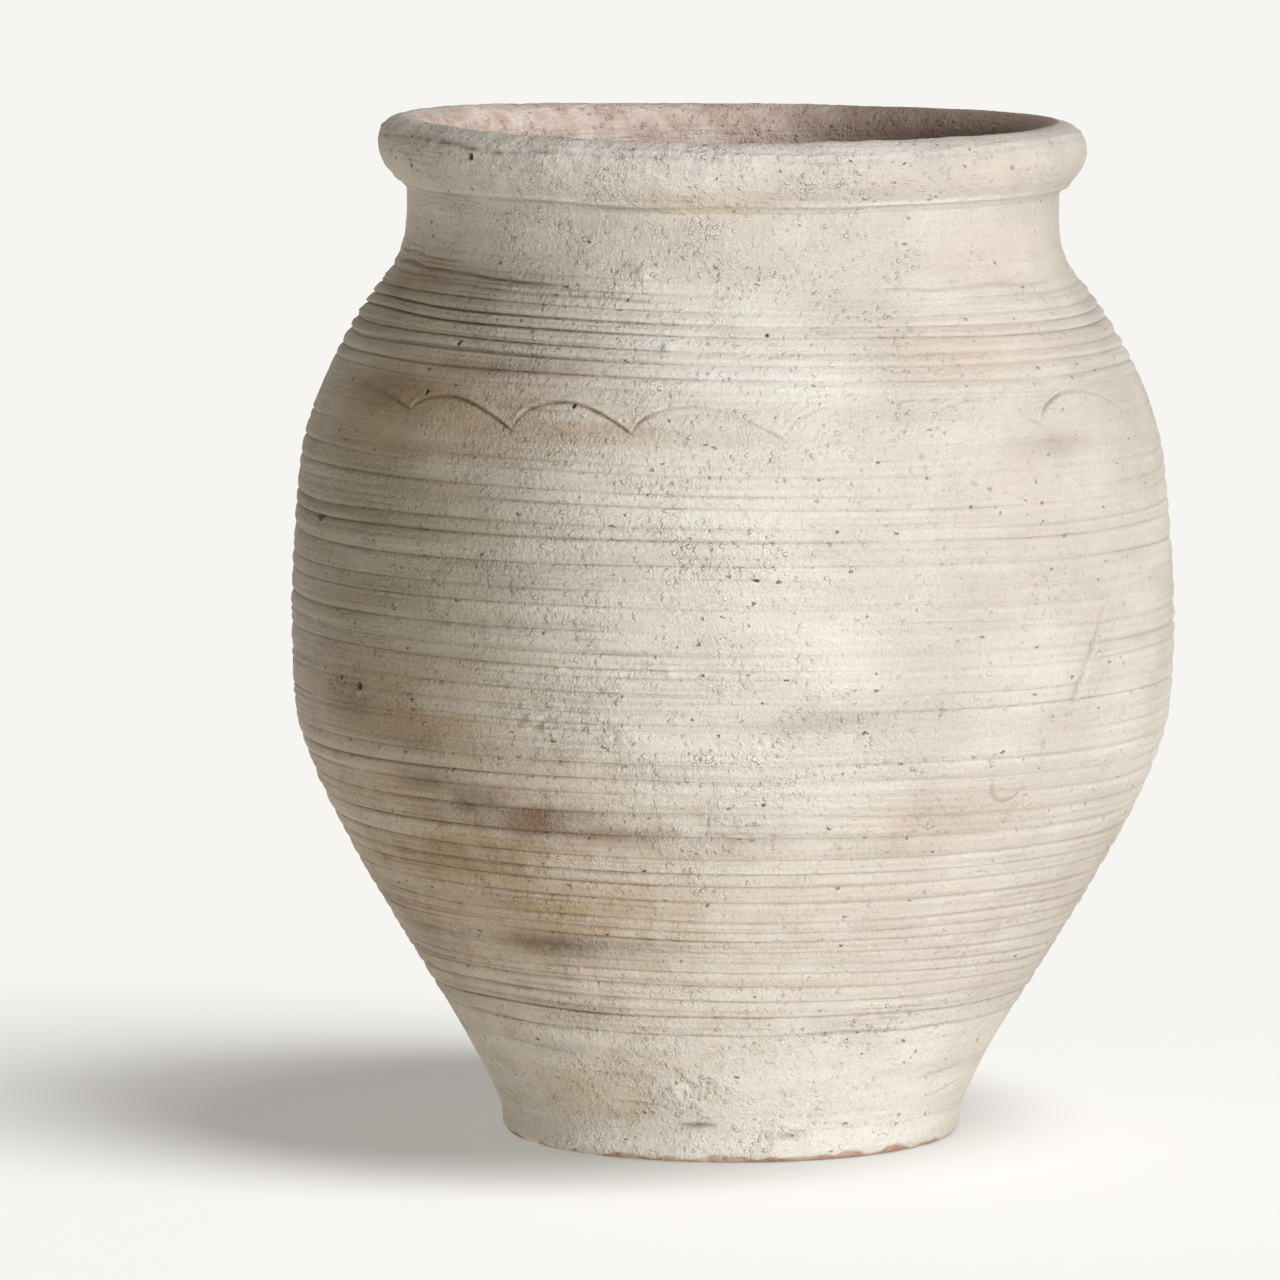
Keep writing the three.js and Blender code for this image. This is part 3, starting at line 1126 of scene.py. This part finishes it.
def speckle(tree, skin):
    """Light and dark of the single grains, as a grey that multiplies the colour."""
    grey = skin.sand.ranged(0.3, 0.7, -1, 0.8) * skin.rough.ranged(0, 1, 0.06, 0.17)
    grey = grey + skin.grit.ranged(0.3, 0.7, 0.965, 1.03) + skin.crumbs * 0.16
    return output_of(tree, "ShaderNodeCombineColor", 0, {0: grey, 1: grey, 2: grey})


def lining_colour(tree, skin):
    """The pink wash inside: blotched with mauve, flecked with lime, dark on its shaded side."""
    wash = mixed(tree, skin.blotch.ranged(0.36, 0.64), MAUVE_LINING, PINK_LINING)
    wash = mixed(tree, skin.grit.ranged(0.62, 0.7) * 0.6, wash, PALE_SLIP_AND_LIGHT)
    return mixed(tree, skin.thin * 0.8, wash, SHADED_LINING)


def slip_colour(tree, skin, worn):
    """Slip from pale to thin, with painted light and shade, then stains, grooves dark with dirt and
    painted shade, specks, holes, lining and bare clay.
    """
    # Pale lime, which is also painted light down the front, round the foot, on the ridge crests and on
    # the rim bead
    lime_and_light = skin.thick + skin.broad.ranged(0.35, 0.65, -0.3, 0.3)
    colour = mixed(tree, lime_and_light.ranged(0, 1), PLAIN_SLIP, PALE_SLIP_AND_LIGHT)
    colour = mixed(tree, skin.wiped.ranged(0.42, 0.7) * 0.32, colour, WIPED_SLIP)
    # Thin slip, which is also painted shade down the left side and along the lower right edge
    thin = skin.thin * skin.wiped.ranged(0.25, 0.7, 0.65, 1)
    colour = mixed(tree, thin * 0.92, colour, THIN_SLIP_AND_SHADE)
    broken = skin.wiped * 0.4 + skin.blotch * 0.6 + skin.grit * 0.3
    for key, stain, most, least in STAIN_COLOURS:
        shape = getattr(skin, key) * broken.ranged(0.5, 0.8, least, 1.2)
        colour = mixed(tree, shape * most, colour, stain)
    colour = mixed(tree, skin.blotch.ranged(0.52, 0.72) * worn, colour, TAN_STAIN)
    # Grooves darkened with dirt and painted shade
    dirt_and_shade = skin.groove * skin.blotch.ranged(0.3, 0.65, 0.35, 1)
    colour = mixed(tree, dirt_and_shade * 0.85, colour, GROOVE_DIRT_AND_SHADE)
    colour = mixed(tree, 1, colour, speckle(tree, skin), "MULTIPLY")
    colour = mixed(tree, skin.flaked * 0.1, colour, TAN_STAIN)
    colour = mixed(tree, skin.specks * 0.6, colour, UMBER_STAIN)
    colour = mixed(tree, skin.pit.larger(skin.pinholes * 0.78), colour, PIT_SHADOW)
    colour = mixed(tree, skin.lining, colour, lining_colour(tree, skin))
    bare = skin.bare * skin.blotch.ranged(0.3, 0.55, 0.35, 1)
    return mixed(tree, bare, colour, BARE_CLAY)


def slip_rise(skin, grain, ridged):
    """Height of the grains, crumbs, wiping lines, flakes and holes, in millimetres."""
    rise = (skin.sand * 0.35 + skin.grit * 0.8) * skin.rough.ranged(0, 1, 0.5, 1.8)
    rise = (rise + skin.crumbs * 0.95 - skin.specks * 0.4) * (skin.crust * 0.5 + grain)
    drawn = skin.lines * skin.sandy.ranged(0, 1, 0.5 * ridged, ridged)
    return rise - skin.flaked * 0.35 + drawn - skin.pinholes * 0.7


def slip_material(name, grain, ridged, worn):
    """Lime slip over fired clay, as sandy, as ridged by wiping and as worn as asked."""
    material = bpy.data.materials.new(name)
    tree = empty_tree(material)
    skin = skin_patterns(tree)
    bump = {"Height": slip_rise(skin, grain, ridged), "Strength": 1.0, "Distance": MM}
    inputs = {
        "Base Color": slip_colour(tree, skin, worn),
        "Roughness": skin.grit.ranged(0.3, 0.7, 0.86, 0.97),
        "Normal": output_of(tree, "ShaderNodeBump", 0, bump),
        "Specular IOR Level": 0.22,
    }
    surface = output_of(tree, "ShaderNodeBsdfPrincipled", 0, inputs)
    add_node(tree, "ShaderNodeOutputMaterial", {0: surface})
    return material


finishes = {
    "lime_slip": slip_material("sandy_lime_slip", 1.15, 0.9, 0.0),
    "worn_slip": slip_material("worn_lime_slip", 1.0, 0.3, 0.1),
    "bare_clay": slip_material("bare_inner_clay", 0.6, 0.2, 0.5),
}


# Places cut finer besides pits, bumps and crusts: angle, height, half width, half height, cuts
FINE_PATCHES = (
    (-32, GARLAND_MIDDLE, 66, 11, 2),
    (9, GARLAND_MIDDLE, 26, 11, 1),
    (47, GARLAND_MIDDLE, 74, 11, 1),
    (52.3, 225, 15, 27, 2),
    (PELLET[0], PELLET[1], 12, 12, 2),
)


def near_marks(low, high):
    """Patches to cut finer on one course: its pits, bumps, crusts, garland, drip and pellet."""
    patches = [(middle, level, size * 1.8, size * 1.8, 2) for middle, level, size in PITS]
    patches += [(middle, level, size * 1.7, size * 1.7, 1) for middle, level, size, _ in BUMPS]
    patches += [(middle, level, wide * 0.8, tall * 0.8, 1) for middle, level, wide, tall, _ in CRUSTS]
    patches += FINE_PATCHES
    return [patch for patch in patches if low < patch[1] < high]


def add_piece(node, profile, slot, refine=()):
    piece = turned_piece(node + "_clay", profile, refine)
    piece.data.materials.append(finishes[slot])
    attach(piece, "root")
    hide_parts(node)
    pieces.append(piece)


pieces = []
add_piece("base_slab", slab_profile(), "worn_slip")
add_piece("floor_coil", coil_profile(), "bare_clay")
for node, low, high, leans, plain_step, inner_rows in COURSES:
    profile = course_profile(low, high, leans, plain_step, inner_rows)
    slot = "worn_slip" if node == "foot_band" else "lime_slip"
    add_piece(node, profile, slot, near_marks(low[1] + 3, high[1] - 3))
add_piece("rim_roll", rim_profile(), "lime_slip", near_marks(425, 446))


# Floor and room: what the camera sees, and what lights the jar from below and around
FLOOR_SEEN = (0.42, 0.417, 0.41, 1)
FLOOR_GLOW = {"Color": (1, 0.985, 0.955, 1), "Strength": 0.295}
FLOOR_UNSEEN = (0.2, 0.192, 0.18, 1)
FLOOR_FILL = {"Color": (1, 0.9, 0.765, 1), "Strength": 0.41}
ROOM_FILL = {"Color": (1, 0.9, 0.75, 1), "Strength": 0.195}
ROOM_BACK = {"Color": (0.925, 0.91, 0.88, 1), "Strength": 1.0}


def shown_or_lit(tree, shown, lit, kind):
    """Ends a tree in one shader where it is seen directly and in another where it only lights."""
    path = add_node(tree, "ShaderNodeLightPath")
    seen = Value(tree, path.outputs["Is Camera Ray"])
    for key in ("Is Glossy Ray", "Is Transmission Ray"):
        seen = seen.larger(Value(tree, path.outputs[key]))
    mix = output_of(tree, "ShaderNodeMixShader", 0, {0: seen, 1: lit, 2: shown})
    add_node(tree, kind, {0: mix})


def glowing(tree, colour, glow):
    """A matt surface that also gives off some light."""
    matt = output_of(tree, "ShaderNodeBsdfDiffuse", 0, {"Color": colour})
    light = output_of(tree, "ShaderNodeEmission", 0, glow)
    return output_of(tree, "ShaderNodeAddShader", 0, {0: matt, 1: light})


def add_floor():
    """A pale seamless floor that keeps the jar's shadow."""
    work = bmesh.new()
    bmesh.ops.create_grid(work, x_segments=8, y_segments=8, size=60.0)
    mesh = bpy.data.meshes.new("pale_floor")
    work.to_mesh(mesh)
    work.free()
    floor = bpy.data.objects.new("pale_floor", mesh)
    scene.collection.objects.link(floor)
    material = bpy.data.materials.new("pale_floor")
    tree = empty_tree(material)
    seen = glowing(tree, FLOOR_SEEN, FLOOR_GLOW)
    unseen = glowing(tree, FLOOR_UNSEEN, FLOOR_FILL)
    shown_or_lit(tree, seen, unseen, "ShaderNodeOutputMaterial")
    mesh.materials.append(material)
    return floor


def add_room():
    """An even, warm room behind a pale backdrop."""
    scene.world = bpy.data.worlds.new("pale_room")
    tree = empty_tree(scene.world)
    back = output_of(tree, "ShaderNodeBackground", 0, ROOM_BACK)
    fill = output_of(tree, "ShaderNodeBackground", 0, ROOM_FILL)
    shown_or_lit(tree, back, fill, "ShaderNodeOutputWorld")


# Soft lamps: angle round the jar, angle above the floor, strength and spread
JAR_LAMPS = (
    ("key_lamp", 35, 6, 0.845, 30),
    ("upper_lamp", 58, 55, 0.24, 28),
)
FLOOR_LAMPS = (
    ("long_shadow_lamp", 62, 56, 1.1, 34),
    ("near_shadow_lamp", 70, 72, 0.42, 22),
)


def add_lamp(name, around, above, strength, spread):
    lamp = bpy.data.lights.new(name, "SUN")
    lamp.energy = strength * math.pi
    lamp.angle = math.radians(spread)
    level = math.cos(math.radians(above))
    towards = Vector((
        -math.sin(math.radians(around)) * level,
        math.cos(math.radians(around)) * level,
        -math.sin(math.radians(above)),
    ))
    holder = bpy.data.objects.new(name, lamp)
    holder.rotation_euler = towards.to_track_quat("-Z", "Y").to_euler()
    scene.collection.objects.link(holder)
    return holder


def add_lamps(lamps, name, lit_objects):
    """Lamps that light only the objects given, so that the pale floor keeps one soft shadow."""
    lit = bpy.data.collections.new(name)
    scene.collection.children.link(lit)
    for lit_object in lit_objects:
        lit.objects.link(lit_object)
    for lamp in lamps:
        add_lamp(*lamp).light_linking.receiver_collection = lit


# Camera: about 4 m away, looking slightly down
CAMERA_AT = (0.0, -4.0, 0.652)
CAMERA_LOOKS_AT = (-0.04092, 0.0, 0.2187)
CAMERA_LENS = 254.34


def add_camera():
    lens = bpy.data.cameras.new("camera")
    lens.lens = CAMERA_LENS
    lens.sensor_width = 36.0
    lens.clip_end = 200.0
    camera = bpy.data.objects.new("camera", lens)
    camera.location = CAMERA_AT
    look = Vector(CAMERA_LOOKS_AT) - Vector(CAMERA_AT)
    camera.rotation_euler = look.to_track_quat("-Z", "Y").to_euler()
    scene.collection.objects.link(camera)
    scene.camera = camera


floor = add_floor()
add_room()
add_lamps(JAR_LAMPS, "lit_jar", pieces)
add_lamps(FLOOR_LAMPS, "lit_floor", [floor])
add_camera()
